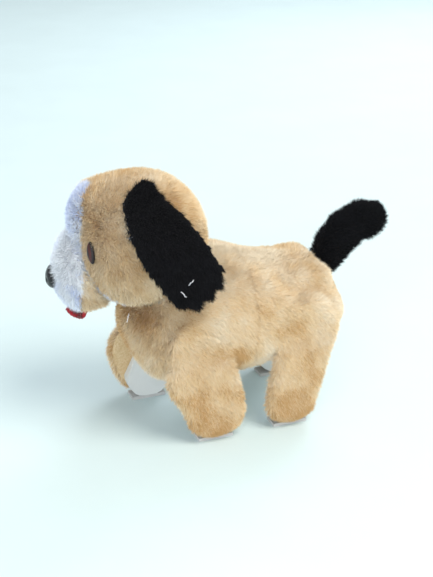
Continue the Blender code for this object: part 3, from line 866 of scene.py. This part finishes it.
class PUPPY_OT_head(bpy.types.Operator):
    """Makes the stuffed head, its tan pile and the white blaze"""

    bl_idname = "puppy.head"
    bl_label = "Head"

    def execute(self, context):
        cloth = settings()[0]
        skin = backing("head_cloth", "head_cover", 1.8 * MM, 3)
        at = to_face(points_of(skin.data))
        reach = np.linalg.norm((at - np.array(HEAD_CENTRE)) / HEAD_RADII, axis=1)
        outer = np.clip((reach - 0.93) / 0.04, 0, 1)
        sink(skin, outer, cloth.inset)
        x, y, z = at.T / MM
        front = np.clip((-52 - y) / 10, 0, 1)
        ridge = np.clip((z - 118) / 18, 0, 1) * np.clip((157 - z) / 10, 0, 1)
        raised = 6.2 * np.exp(-((x / 13) ** 4)) * ridge
        raised += 2.4 * np.exp(-((x / 27) ** 2 + ((z - 148) / 11) ** 2))
        sink(skin, outer * front * raised / 10, -10 * MM)
        half = 9.5 + 12 * np.clip((150 - z) / 42, 0, 1)
        blaze = 0.5 + (half - np.abs(x)) / 5
        zone = np.clip(blaze, 0, 1) * (y < -58) * (z < 150.5 - 0.06 * x**2)
        tone = 0.50 + 0.26 * ripple(at, 24 * MM, 11) + 0.2 * ripple(at, 8 * MM, 12)
        flow = toward(0.8 * x / 40, 0.7, 0.35 * (z - 112) / 30 - 0.35)
        flow[:, 0] += 0.45 * ripple(at, 20 * MM, 13)
        flow[:, 2] += 0.45 * ripple(at, 20 * MM, 14)
        tall = np.where(zone > 0.5, 0.9, 1.0)
        dress(skin, outer, face_turned(flow), tone, zone, tall)
        line_tan(skin, "head_backing")
        tree = pile_for("head", tan_shades() + white_shades(), 4, ruffle=0.4)
        for name, mask in (("head_pile_left", x > 0), ("head_pile_right", x <= 0)):
            wear(grow_pile(name, skin, mask, tree), "head", "tan_plush")
        wear(skin, "head", "tan_plush", "head_cover", fill=0.9)
        return {"FINISHED"}


class PUPPY_OT_snout(bpy.types.Operator):
    """Makes the white snout and its longer pile"""

    bl_idname = "puppy.snout"
    bl_label = "Snout"

    def execute(self, context):
        cloth, colours = settings()
        skin = backing("snout_cloth", "muzzle_cover", 1.5 * MM, 3)
        at = to_face(points_of(skin.data))
        out = at - np.array(HEAD_CENTRE)
        reach = np.linalg.norm(out / HEAD_RADII, axis=1)
        outer = np.clip((reach - 0.99) / 0.02, 0, 1)
        sink(skin, outer, cloth.inset * 0.9)
        x, y, z = at.T / MM
        # Painted shade: lower on the snout the pile turns to the cool white and the deeper tans.
        tone = 0.35 + 0.35 * ripple(at, 7 * MM, 21) + 0.3 * np.clip((100 - z) / 30, -0.4, 1)
        flow = toward(0.9 * x / 22, 0.55, -0.45 + 0.3 * ripple(at, 10 * MM, 22))
        border = -79 - 6 * np.clip((125 - z) / 32, 0, 1)
        tan_side = np.clip(0.5 + (y - border) / 3, 0, 1)
        dress(skin, outer, face_turned(flow), tone, tan_side, 1 - 0.15 * tan_side)
        # The snout backing takes the cool white that stands for painted shade.
        line_with(skin, "snout_backing", colours.painted_shade_white, scaled(colours.painted_shade_white, 0.7))
        tree = pile_for("snout", white_shades() + tan_shades(), 2, rise=0.8, ruffle=0.42, size=1.15)
        wear(grow_pile("snout_pile", skin, None, tree), "head", "white_plush")
        wear(skin, "head", "white_plush", "muzzle_cover", fill=0.9)
        return {"FINISHED"}


class PUPPY_OT_ears(bpy.types.Operator):
    """Makes the two black ears with their grey lining"""

    bl_idname = "puppy.ears"
    bl_label = "Ears"

    def execute(self, context):
        shades = black_shades()
        shades.append(fibre("pile_lining_grey", linear(178, 182, 192)))
        shades.append(fibre("pile_lining_pale", linear(208, 210, 216)))
        tree = pile_for("ear", shades, 3, rise=0.75, ruffle=0.42, size=0.95)
        turn = np.array(FACE.to_3x3())
        for side in ("left", "right"):
            skin = backing(f"ear_cloth_{side}", f"ear_{side}", 1.1 * MM, 2)
            points = points_of(skin.data)
            normals = normals_of(skin.data)
            sideways = turn[:, 0] * (1 if side == "left" else -1)
            inner = (normals @ sideways) < -0.35
            at = to_face(points)
            y, z = at.T[1:] / MM
            sink(skin, np.ones(len(points)), 1.1 * MM)
            if side == "left":
                self.drape(skin)
            edge = (y < -60) & (z > 140)
            zone = np.where(inner, 1.0, np.where(edge, 0.56, 0.0))
            tone = 0.45 + 0.4 * ripple(at, 6 * MM, 31)
            flow = toward(0.0, 0.45, -1.0 + 0.4 * ripple(at, 9 * MM, 32))
            tall = np.where(inner, 0.45, 1.0)
            if side == "right":
                tall *= np.where(z > 144, 0.25, 1.0)
                drop = np.clip((z - 138) / 14, 0, 1) * 4.0 * MM
                write_points(skin.data, points_of(skin.data) - np.outer(drop, (0, 0, 1)))
            dress(skin, np.ones(len(points)), face_turned(flow), tone, zone, tall)
            line_black(skin, "ear_backing")
            wear(grow_pile(f"ear_pile_{side}", skin, None, tree), f"ear_{side}", "black_plush")
            wear(skin, f"ear_{side}", "black_plush", f"ear_{side}", fill=0.3)
        return {"FINISHED"}

    def drape(self, skin):
        """Lifts the ear over the bulge of the head, with a rounded top and a wide, ragged tip."""
        at = to_face(points_of(skin.data)) / MM
        along = np.array(EAR_RUN) / math.hypot(*EAR_RUN)
        sideways = np.array((-EAR_RUN[1], EAR_RUN[0])) / EAR_LENGTH
        t = ((at[:, 1:] - EAR_TOP) @ along) / EAR_LENGTH
        across = (at[:, 1:] - EAR_TOP - np.outer(t * EAR_LENGTH, along)) @ sideways
        wide = 1.08 + 0.06 * np.clip(1 - t / 0.3, 0, 1) + 0.22 * np.clip((t - 0.72) / 0.3, 0, 1)
        ragged = 2.2 * np.sin(across * 0.9) * np.clip((t - 0.8) / 0.2, 0, 1)
        ragged -= 4.5 * np.clip((t - 0.7) / 0.3, 0, 1) * across / 15
        rounded = 6.5 * np.clip(1 - t / 0.3, 0, 1) * np.minimum(np.abs(across) / 11, 1.5) ** 2.5
        spot = EAR_TOP + np.outer(t * EAR_LENGTH - 9.0 - 1.5 * t + ragged + rounded, along)
        spot += np.outer(across * (wide - 1) + across, sideways)
        rise_old = np.clip(np.maximum(at[:, 2] - 120, 0) / 42.2, 0, 0.97)
        old = 41.4 * np.sqrt(1 - rise_old**2) + 0.16 * np.maximum(120 - at[:, 2], 0)
        spot[:, 0] += 0.5 + 9.5 * t
        y, z = spot.T
        bulge = 1 - (np.maximum(z - 120, 0) / 42.6) ** 2 - (np.minimum(y + 48, 0) / 44) ** 2 * (z > 132)
        new = 41.0 * np.sqrt(np.clip(bulge, 0.05, 1)) + 0.13 * np.maximum(120 - z, 0)
        moved = np.stack((at[:, 0] - old + new, y, z), 1) * MM
        turn = np.array(FACE)
        write_points(skin.data, moved @ turn[:3, :3].T + turn[:3, 3])


class PUPPY_OT_tail(bpy.types.Operator):
    """Makes the black tail"""

    bl_idname = "puppy.tail"
    bl_label = "Tail"

    def execute(self, context):
        skin = backing("tail_cloth", "tail_cover", 1.2 * MM, 3)
        points = points_of(skin.data)
        sink(skin, np.ones(len(points)), 1.0 * MM)
        tone = 0.45 + 0.4 * ripple(points, 6 * MM, 41)
        flow = np.array(TAIL_TIP)[None, :] - points + np.array((0, 0.0, 0.03))
        flow /= np.linalg.norm(flow, axis=1)[:, None]
        dress(skin, np.ones(len(points)), flow, tone)
        line_black(skin, "tail_backing")
        tree = pile_for("tail", black_shades(), 3, rise=0.8, ruffle=0.4)
        wear(grow_pile("tail_pile", skin, None, tree), "tail", "black_plush")
        wear(skin, "tail", "black_plush", "tail_cover", fill=0.6)
        return {"FINISHED"}


class PUPPY_OT_legs(bpy.types.Operator):
    """Makes the four leg covers and their pile"""

    bl_idname = "puppy.legs"
    bl_label = "Leg covers"

    def execute(self, context):
        tree = pile_for("leg", tan_shades(), 4, ruffle=0.38)
        for leg in LEGS:
            skin = backing(f"leg_cloth_{leg}", f"leg_cover_{leg}", 1.3 * MM, 3)
            points = points_of(skin.data) - np.array(SHIFT)
            normals = normals_of(skin.data)
            side = 1 if leg.endswith("left") else -1
            outward = normals[:, 0] * side
            grow = np.clip((outward + 0.55) / 0.3, 0, 1)
            z = points[:, 2] / MM
            if leg.startswith("front"):
                ahead = HIPS[0][1] / MM - points[:, 1] / MM
                flare = 8.0 * np.clip((z - 13) / 20, 0, 1) * np.clip((54 - z) / 14, 0, 1)
                flare *= np.clip((ahead - 5) / 9, 0, 1)
                write_points(skin.data, points_of(skin.data) - np.outer(flare * MM, (0, 1, 0)))
            tuck = 1.4 + 4.2 * np.clip((z - 48) / 20, 0, 1)
            sink(skin, np.clip((outward - 0.1) / 0.3, 0, 1) * tuck / 5.6, 5.6 * MM)
            grow *= np.clip((66 - z) / 5, 0, 1)
            tone = 0.55 + 0.3 * ripple(points, 12 * MM, 51) + 0.25 * np.clip((40 - z) / 30, 0, 1)
            flow = toward(side * 0.3, 0.25, -1 + 0.3 * ripple(points, 9 * MM, 52))
            dress(skin, grow, flow, tone, tall=np.clip(0.3 + (z - 1.5) / 12, 0.3, 1))
            line_tan(skin, "leg_backing")
            pile = grow_pile(f"leg_pile_{leg}", skin, None, tree)
            hip = Vector(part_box(f"leg_pin_{leg}")[0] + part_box(f"leg_pin_{leg}")[1]) / 2
            for piece in (pile, skin):
                high, low = hip + Vector((0, 0, 4)) * MM, hip - Vector((0, 0, 26)) * MM
                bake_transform(piece, "chassis", f"leg_{leg}", start=high, end=low)
            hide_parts(f"leg_cover_{leg}")
        return {"FINISHED"}


class PUPPY_OT_eyes(bpy.types.Operator):
    """Makes the slanted eyes with a dark pupil, a brown iris and a rim"""

    bl_idname = "puppy.eyes"
    bl_label = "Eyes"

    def execute(self, context):
        colours = settings()[1]
        iris, tree, shader, place = textured("eye_iris", roughness=0.45)
        shader.inputs["Coat Weight"].default_value = 0.15
        streaks = noise_at(tree, place, 900.0, 3.0)
        dark, light = scaled(colours.iris, 0.45), scaled(colours.iris, 1.5)
        paint(tree, shader, ramp(tree, streaks, (0.3, dark), (0.7, light)))
        pupil = moulded("eye_pupil", linear(9, 6, 7), 0.34, 700.0, 0.6)
        rim = moulded("eye_rim", linear(20, 9, 8), 0.55, 900.0, 0.6)
        for side in ("left", "right"):
            low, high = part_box(f"eye_{side}")
            middle = (low + high) / 2
            way = 1 if side == "left" else -1
            middle += FACE.to_3x3() @ Vector((3.0 * way, 3.4, -1.3)) * MM
            radial = (middle - FACE @ HEAD_CENTRE).normalized()
            forward = (FACE.to_3x3() @ Vector((0, -1, 0))).normalized()
            outward = (radial * 0.62 + forward).normalized()
            radius = (high.z - low.z) / 2 * 0.92
            bm = bmesh.new()
            ring = [bm.verts.new((r * radius, 0, h * radius)) for r, h in EYE_PROFILE]
            wire = [bm.edges.new(pair) for pair in zip(ring, ring[1:])]
            bmesh.ops.spin(
                bm, geom=ring + wire, cent=(0, 0, 0), axis=(0, 0, 1), angle=2 * math.pi, steps=32,
                use_merge=True,
            )
            bmesh.ops.remove_doubles(bm, verts=bm.verts, dist=0.001 * MM)
            bmesh.ops.recalc_face_normals(bm, faces=bm.faces)
            for face in bm.faces:
                out = face.calc_center_median().xy.length / radius
                face.material_index = 0 if out < PUPIL_REACH else (1 if out < IRIS_REACH else 2)
                if face.calc_center_median().z < 0:
                    face.material_index = 2
            aim = outward.to_track_quat("Z", "Y").to_matrix().to_4x4()
            slant = Matrix.Rotation(way * EYE_SLANT, 4, "Z") @ Matrix.Diagonal(EYE_FORM)
            bmesh.ops.transform(bm, verts=bm.verts, matrix=Matrix.Translation(middle) @ aim @ slant)
            made = place_object(f"eye_glass_{side}", mesh_from(f"eye_glass_{side}", bm))
            for mat in (pupil, iris, rim):
                made.data.materials.append(mat)
            wear(made, "head", "amber_eye", f"eye_{side}")
        return {"FINISHED"}


class PUPPY_OT_nose(bpy.types.Operator):
    """Makes the glossy nose with its two nostrils"""

    bl_idname = "puppy.nose"
    bl_label = "Nose"

    def execute(self, context):
        bm = bmesh.new()
        bmesh.ops.create_icosphere(bm, subdivisions=5, radius=1.0)
        for v in bm.verts:
            x, y, z = v.co
            pit = math.exp(-(((abs(x) - 0.42) / 0.17) ** 2 + ((z + 0.12) / 0.2) ** 2)) if y < 0 else 0
            groove = math.exp(-((x / 0.07) ** 2)) * (1 if y < 0 and z < 0.1 else 0) * min(1, 0.4 - z)
            wide = 1 + 0.16 * z
            deep = NOSE_DEEP * y * (1 - 0.1 * z) + 1.5 * pit + 0.8 * groove
            v.co = Vector((NOSE_WIDE * x * wide, deep, NOSE_TALL * z)) * MM
        bmesh.ops.smooth_vert(
            bm, verts=bm.verts, factor=0.4, use_axis_x=True, use_axis_y=True, use_axis_z=True
        )
        spot = FACE @ Matrix.Translation(Vector((0, -98.5, 97.3)) * MM)
        bmesh.ops.transform(bm, verts=bm.verts, matrix=spot)
        made = place_object("nose_cap", mesh_from("nose_cap", bm))
        made.data.materials.append(moulded("nose_gloss", linear(16, 14, 18), 0.2, 1100.0, 0.6))
        wear(made, "head", "black_plastic", "nose")
        return {"FINISHED"}


class PUPPY_OT_tongue(bpy.types.Operator):
    """Makes the ribbed felt tongue"""

    bl_idname = "puppy.tongue"
    bl_label = "Tongue"

    def execute(self, context):
        colours = settings()[1]
        bm = bmesh.new()
        bmesh.ops.create_grid(bm, x_segments=24, y_segments=48, size=0.5)
        for v in bm.verts:
            across, down = v.co.x * 2, v.co.y + 0.5
            width = 6.2 * math.sqrt(max(0.02, 1 - max(0.0, (down - 0.55) / 0.46) ** 2))
            rib = 0.35 * math.cos(down * 2 * math.pi * 7) - 0.7 * math.exp(-((across / 0.12) ** 2))
            root = 7.5 * max(0.0, 1 - down / 0.3) ** 2
            v.co = Vector((across * width, -81 - 9.5 * down, 72.5 + 3.5 * down + root + rib)) * MM
        bmesh.ops.recalc_face_normals(bm, faces=bm.faces)
        bmesh.ops.solidify(bm, geom=bm.faces, thickness=2.2 * MM)
        bmesh.ops.transform(bm, verts=bm.verts, matrix=FACE)
        made = place_object("tongue_felt", mesh_from("tongue_felt", bm))
        mat, tree, shader, place = textured("red_felt", roughness=0.9, sheen_weight=0.4)
        fuzz = noise_at(tree, place, 1500.0, 4.0)
        blot = noise_at(tree, place, 220.0, 3.0)
        mix = node(tree, "ShaderNodeMath", {0: fuzz, 1: blot}, operation="MULTIPLY").outputs[0]
        paint(tree, shader, ramp(tree, mix, (0.12, scaled(colours.felt, 0.45)), (0.4, colours.felt)))
        bump(tree, shader, fuzz, 0.7, 0.25 * MM)
        made.data.materials.append(mat)
        wear(made, "head", "red_felt", "tongue", fill=0.3)
        return {"FINISHED"}


class PUPPY_OT_mechanism(bpy.types.Operator):
    """Gives the carried-over nodes their moulded, metal and rubber finishes"""

    bl_idname = "puppy.mechanism"
    bl_label = "Mechanism finishes"

    def execute(self, context):
        finishes = {
            "white_plastic": moulded("moulded_white", linear(226, 226, 222), 0.42, 900.0, 0.93),
            "grey_plastic": moulded("moulded_grey", linear(128, 132, 136), 0.5, 800.0),
            "black_plastic": moulded("moulded_black", linear(26, 26, 28), 0.4, 900.0, 0.7),
            "gear_plastic": moulded("gear_nylon", linear(232, 222, 190), 0.38, 700.0),
            "steel": metal("plated_steel", linear(196, 198, 202), 0.32),
            "cell_wrap": self.cell_wrap(),
            "rubber": moulded("sole_rubber", linear(204, 202, 198), 0.78, 500.0, 0.85),
        }
        for held in frame["nodes"].values():
            for place in held.material_slots:
                kind = place.material.name.split(".")[0]
                if kind in finishes:
                    place.link = "OBJECT"
                    place.material = finishes[kind]
        return {"FINISHED"}

    def cell_wrap(self):
        """Printed film on the cells: a dark sleeve with a copper-coloured end band."""
        mat, tree, shader, place = textured("cell_film", roughness=0.28)
        shader.inputs["Coat Weight"].default_value = 0.4
        along = node(tree, "ShaderNodeSeparateXYZ", {"Vector": place}).outputs["Y"]
        wrinkle = noise_at(tree, place, 300.0, 3.0)
        step = node(
            tree, "ShaderNodeMapRange",
            {"Value": along, "From Min": -2 * MM, "From Max": 48 * MM},
        ).outputs["Result"]
        colour = ramp(
            tree, step, (0.0, linear(150, 92, 52)), (0.24, linear(158, 98, 56)),
            (0.26, linear(28, 28, 32)), (1.0, linear(34, 34, 40)),
        )
        paint(tree, shader, colour)
        bump(tree, shader, wrinkle, 0.15, 0.1 * MM)
        return mat


class PUPPY_OT_threads(bpy.types.Operator):
    """Makes the loose threads at the neck seam and on the ear"""

    bl_idname = "puppy.threads"
    bl_label = "Loose threads"

    def execute(self, context):
        low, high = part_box("ear_left")
        ear = Vector((high.x - 3.0 * MM, (low.y + high.y) / 2 + 2 * MM, low.z + 20 * MM))
        self.thread("thread_ear_a", ear, (0.6, 3.0, -4.0), "ear_left")
        self.thread("thread_ear_b", ear + Vector((0.6, 4.5, 3.5)) * MM, (0.8, 2.4, 2.6), "ear_left")
        seam = SHIFT + Vector((22, -63.5, 84)) * MM
        self.thread("thread_neck", seam, (2.0, -2.2, -5.0), "chassis")
        return {"FINISHED"}

    def thread(self, name, start, step, body):
        """A short waved length of sewing thread."""
        bm = bmesh.new()
        bmesh.ops.create_circle(bm, segments=8, radius=0.22 * MM, cap_ends=True)
        aim = Vector(step).normalized().to_track_quat("Z", "Y").to_matrix().to_4x4()
        bmesh.ops.transform(bm, verts=bm.verts, matrix=Matrix.Translation(start) @ aim)
        ends = list(bm.faces)
        for i in range(14):
            grown = bmesh.ops.extrude_face_region(bm, geom=ends)
            verts = [g for g in grown["geom"] if isinstance(g, bmesh.types.BMVert)]
            if i:
                bmesh.ops.delete(bm, geom=ends, context="FACES_KEEP_BOUNDARY")
            ends = [g for g in grown["geom"] if isinstance(g, bmesh.types.BMFace)]
            wave = Vector((math.sin(i * 0.9), math.cos(i * 1.1), math.sin(i * 0.7))) * 0.22
            bmesh.ops.translate(bm, verts=verts, vec=(Vector(step) / 14 + wave) * MM)
        bmesh.ops.recalc_face_normals(bm, faces=bm.faces)
        made = place_object(name, mesh_from(name, bm))
        made.data.materials.append(bpy.data.materials.get("thread_cotton") or self.cotton())
        wear(made, body, "white_plush")

    def cotton(self):
        """White cotton in twisted plies."""
        mat, tree, shader, place = textured("thread_cotton", roughness=0.85)
        ply = node(tree, "ShaderNodeTexWave", {"Vector": place, "Scale": 900.0}).outputs["Fac"]
        paint(tree, shader, ramp(tree, ply, (0.2, linear(196, 196, 200)), (0.8, linear(240, 240, 242))))
        return mat


class PUPPY_PT_panel(bpy.types.Panel):
    """Lists the pieces and their settings"""

    bl_idname = "PUPPY_PT_panel"
    bl_label = "Plush puppy"
    bl_space_type = "VIEW_3D"
    bl_region_type = "UI"
    bl_category = "Plush puppy"

    def draw(self, context):
        for group in (context.scene.puppy_cloth, context.scene.puppy_colours, context.scene.puppy_studio):
            box = self.layout.box()
            for name in group.__annotations__:
                box.prop(group, name)
        for operator in OPERATORS:
            self.layout.operator(operator.bl_idname)


GROUPS = {"puppy_cloth": PuppyCloth, "puppy_colours": PuppyColours, "puppy_studio": PuppyStudio}
OPERATORS = (
    PUPPY_OT_studio,
    PUPPY_OT_mechanism,
    PUPPY_OT_coat,
    PUPPY_OT_head,
    PUPPY_OT_snout,
    PUPPY_OT_ears,
    PUPPY_OT_tail,
    PUPPY_OT_legs,
    PUPPY_OT_eyes,
    PUPPY_OT_nose,
    PUPPY_OT_tongue,
    PUPPY_OT_threads,
)


def register():
    for group in GROUPS.values():
        bpy.utils.register_class(group)
    for name, group in GROUPS.items():
        setattr(bpy.types.Scene, name, bpy.props.PointerProperty(type=group))
    for operator in OPERATORS:
        bpy.utils.register_class(operator)
    bpy.utils.register_class(PUPPY_PT_panel)


def unregister():
    bpy.utils.unregister_class(PUPPY_PT_panel)
    for operator in reversed(OPERATORS):
        bpy.utils.unregister_class(operator)
    for name, group in GROUPS.items():
        delattr(bpy.types.Scene, name)
        bpy.utils.unregister_class(group)


def main():
    register()
    for operator in OPERATORS:
        group, name = operator.bl_idname.split(".")
        getattr(getattr(bpy.ops, group), name)()
    for tuft in [held for held in bpy.data.objects if held.name.startswith("tuft_")]:
        bpy.data.objects.remove(tuft)


if __name__ == "__main__":
    main()
